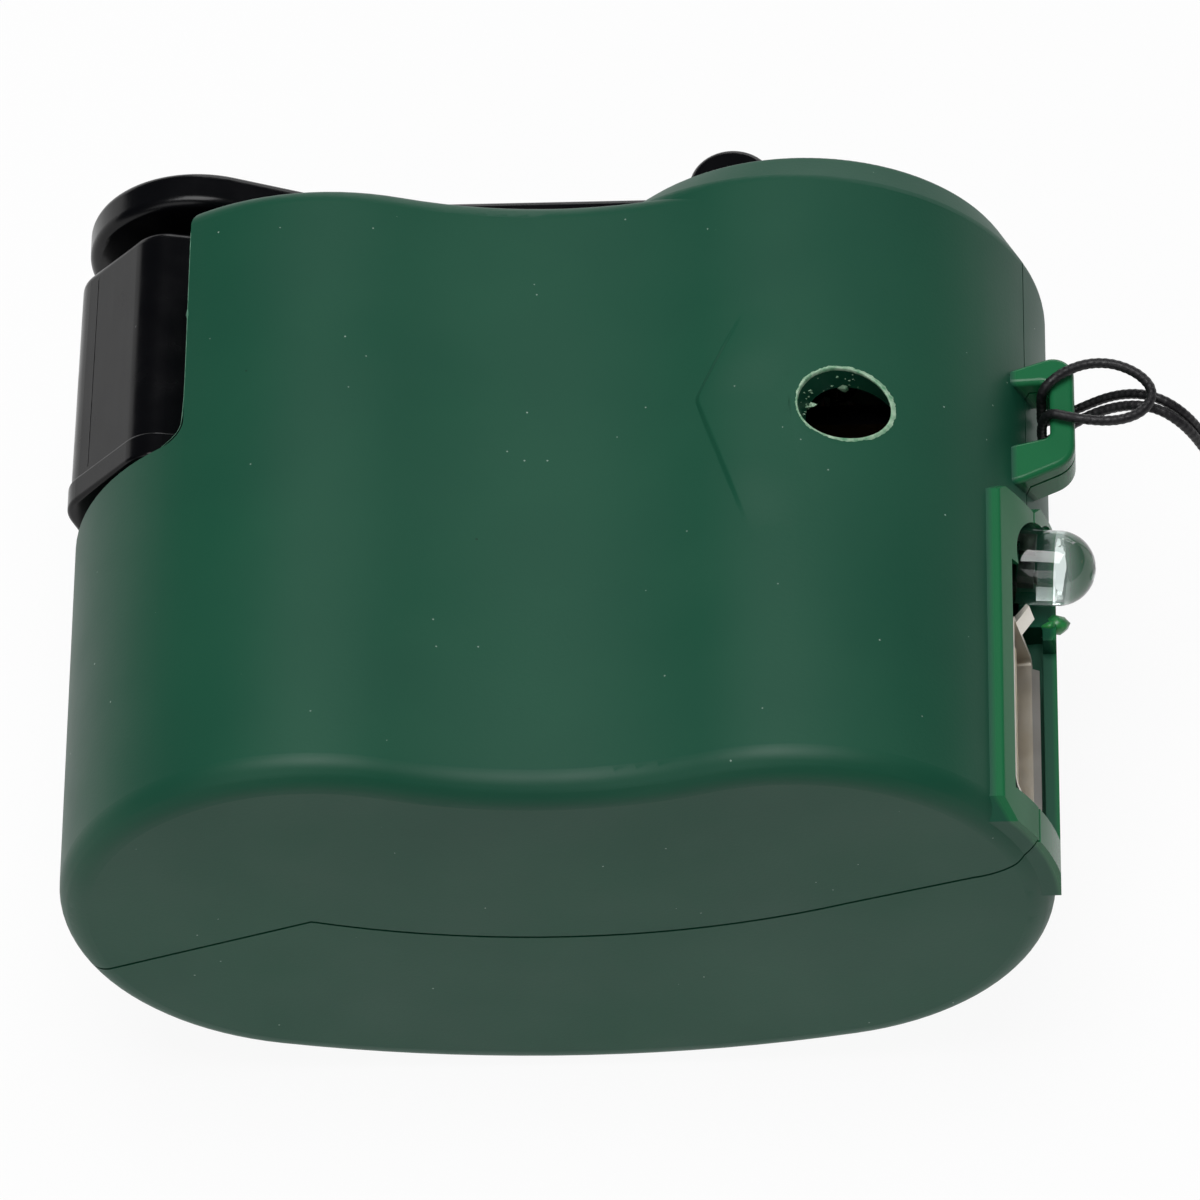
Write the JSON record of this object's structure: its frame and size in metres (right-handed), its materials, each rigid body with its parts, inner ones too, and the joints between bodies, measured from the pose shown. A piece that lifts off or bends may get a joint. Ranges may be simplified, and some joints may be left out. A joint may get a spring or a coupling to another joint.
{
  "type": "hand crank phone charger",
  "caption": "Hand cranked charger with a waved two-part case, a folding crank whose grip lies in a side pocket, a USB socket, a lamp and a lanyard eye.",
  "frame": {"origin": "on the floor under the middle of the bounding box, with the charger lying on its back", "axes": "+X towards the port side, +Y towards the crank, +Z towards the waved front"},
  "size_m": [0.1071, 0.0558, 0.036],
  "materials": {
    "green_abs": "fine satin moulded",
    "black_abs": "moulded gloss",
    "screw_steel": "zinc plated",
    "brass": "turned",
    "white_acetal": "moulded",
    "can_steel": "nickel plated sheet",
    "ferrite": "ground ferrite",
    "core_steel": "laminated and wound",
    "board_laminate": "glass laminate",
    "capacitor_sleeve": "shrunk sleeve",
    "black_epoxy": "moulded epoxy",
    "cream_plastic": "moulded",
    "gold_contacts": "gold flash",
    "clear_epoxy": "clear cast",
    "wire_sleeve": "vinyl sleeve",
    "waxed_cord": "waxed braid"
  },
  "bodies": {
    "case": {"front_shell": "green_abs", "rear_shell": "green_abs", "case_screws": "screw_steel", "crank_hub": "black_abs", "shaft_bush": "brass", "hinge_pin": "screw_steel", "drive_gear_screw": "screw_steel", "drive_gear_washer": "screw_steel", "idler_axles": "screw_steel", "gear_plate": "black_abs", "plate_screws": "screw_steel", "generator_can": "can_steel", "generator_end_cap": "black_abs", "generator_magnets": "ferrite", "generator_terminals": "brass", "circuit_board": "board_laminate", "smoothing_capacitor": "capacitor_sleeve", "rectifier_diodes": "black_epoxy", "regulator_chip": "black_epoxy", "usb_shell": "can_steel", "usb_tongue": "cream_plastic", "usb_contacts": "gold_contacts", "lamp_lens": "clear_epoxy", "lamp_leads": "screw_steel", "generator_wires": "wire_sleeve", "lanyard_hitch": "waxed_cord", "lanyard_tail_one": "waxed_cord", "lanyard_tail_two": "waxed_cord", "lanyard_coil": "waxed_cord"},
    "arm": {"crank_arm": "black_abs", "grip_pin": "screw_steel"},
    "grip": {"handle_grip": "black_abs"},
    "drive": {"drive_gear": "white_acetal"},
    "idler_one": {"idler_gear_one": "white_acetal"},
    "idler_two": {"idler_gear_two": "white_acetal"},
    "rotor": {"rotor_shaft": "screw_steel", "rotor_core": "core_steel", "generator_pinion": "brass"}
  },
  "joints": [
    {"name": "arm_fold", "type": "hinge", "parent": "case", "child": "arm", "pos_m": [0.01027, 0.025, 0.021], "axis": [0, 0, -1], "range_deg": [0, 180]},
    {"name": "grip_spin", "type": "hinge", "parent": "arm", "child": "grip", "pos_m": [-0.02603, 0.0121, 0.021], "axis": [0, 1, 0], "continuous": true},
    {"name": "rotor_turn", "type": "hinge", "parent": "case", "child": "rotor", "pos_m": [0.00236, -0.0029, 0.012], "axis": [0, 1, 0], "continuous": true},
    {"name": "crank_turn", "type": "hinge", "parent": "case", "child": "drive", "pos_m": [0.01507, 0.0141, 0.021], "axis": [0, 1, 0], "continuous": true},
    {"name": "idler_one_turn", "type": "hinge", "parent": "case", "child": "idler_one", "pos_m": [0.00113, 0.0121, 0.017], "axis": [0, 1, 0], "continuous": true},
    {"name": "idler_two_turn", "type": "hinge", "parent": "case", "child": "idler_two", "pos_m": [0.01398, 0.0091, 0.015], "axis": [0, 1, 0], "continuous": true}
  ],
  "couplings": [
    {"joint": "crank_turn", "follows": "rotor_turn", "ratio": -0.026087},
    {"joint": "idler_one_turn", "follows": "rotor_turn", "ratio": 0.1},
    {"joint": "idler_two_turn", "follows": "rotor_turn", "ratio": -0.33333}
  ]
}
